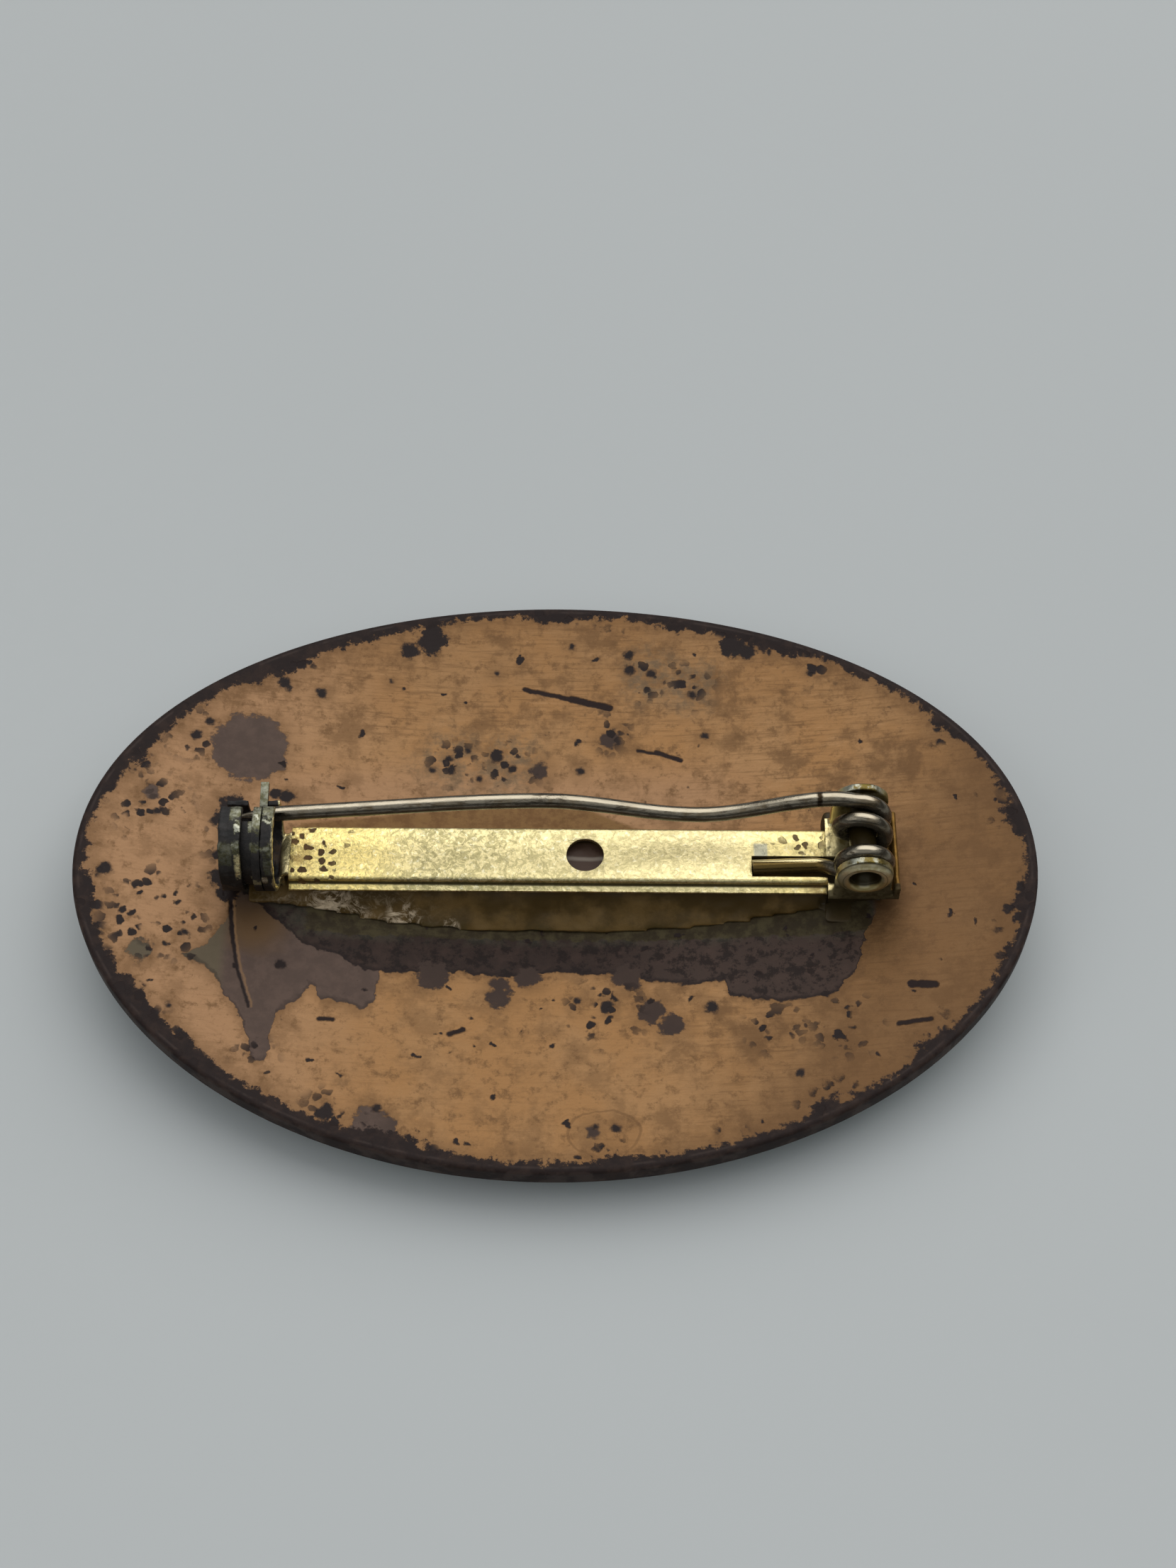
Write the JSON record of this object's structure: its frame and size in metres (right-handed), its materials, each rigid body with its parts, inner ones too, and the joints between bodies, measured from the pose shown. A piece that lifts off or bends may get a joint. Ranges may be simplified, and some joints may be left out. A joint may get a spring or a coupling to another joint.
{
  "type": "pin-back badge",
  "caption": "Oval dished badge plate with an enamelled front and a safety-catch bar pin bonded across its hollow back.",
  "frame": {"origin": "crown of the domed front, which is the bottom centre of the badge as it lies face down", "axes": "+X along the bar pin from the catch to the hinge, +Y across the oval towards the catch's mouth, +Z out of the back"},
  "size_m": [0.0448, 0.0306, 0.0074],
  "materials": {
    "enamel": "glossy vitreous enamel",
    "copper": "brushed copper, oxidised at the rim",
    "adhesive": "cured amber adhesive",
    "gilt_brass": "bright gilt, pitted",
    "eyelet_metal": "worn plating",
    "spring_wire": "drawn wire, tarnished",
    "tarnished_nickel": "tarnished nickel plating"
  },
  "bodies": {
    "base": {"enamel_face": "enamel", "copper_plate": "copper", "adhesive_bed": "adhesive", "pin_bar": "gilt_brass", "hinge_eyelet": "eyelet_metal", "spring_tail": "spring_wire"},
    "pin": {"pin_stem": "spring_wire"},
    "rotor": {"catch_rotor": "tarnished_nickel"}
  },
  "joints": [
    {"name": "pin_swing", "type": "hinge", "parent": "base", "child": "pin", "pos_m": [0.01415, 0.00013, 0.00572], "axis": [0, 1, 0], "range_deg": [0, 100]},
    {"name": "catch_turn", "type": "hinge", "parent": "base", "child": "rotor", "pos_m": [-0.0137, -0.00023, 0.00522], "axis": [1, 0, 0], "range_deg": [0, 80]}
  ]
}
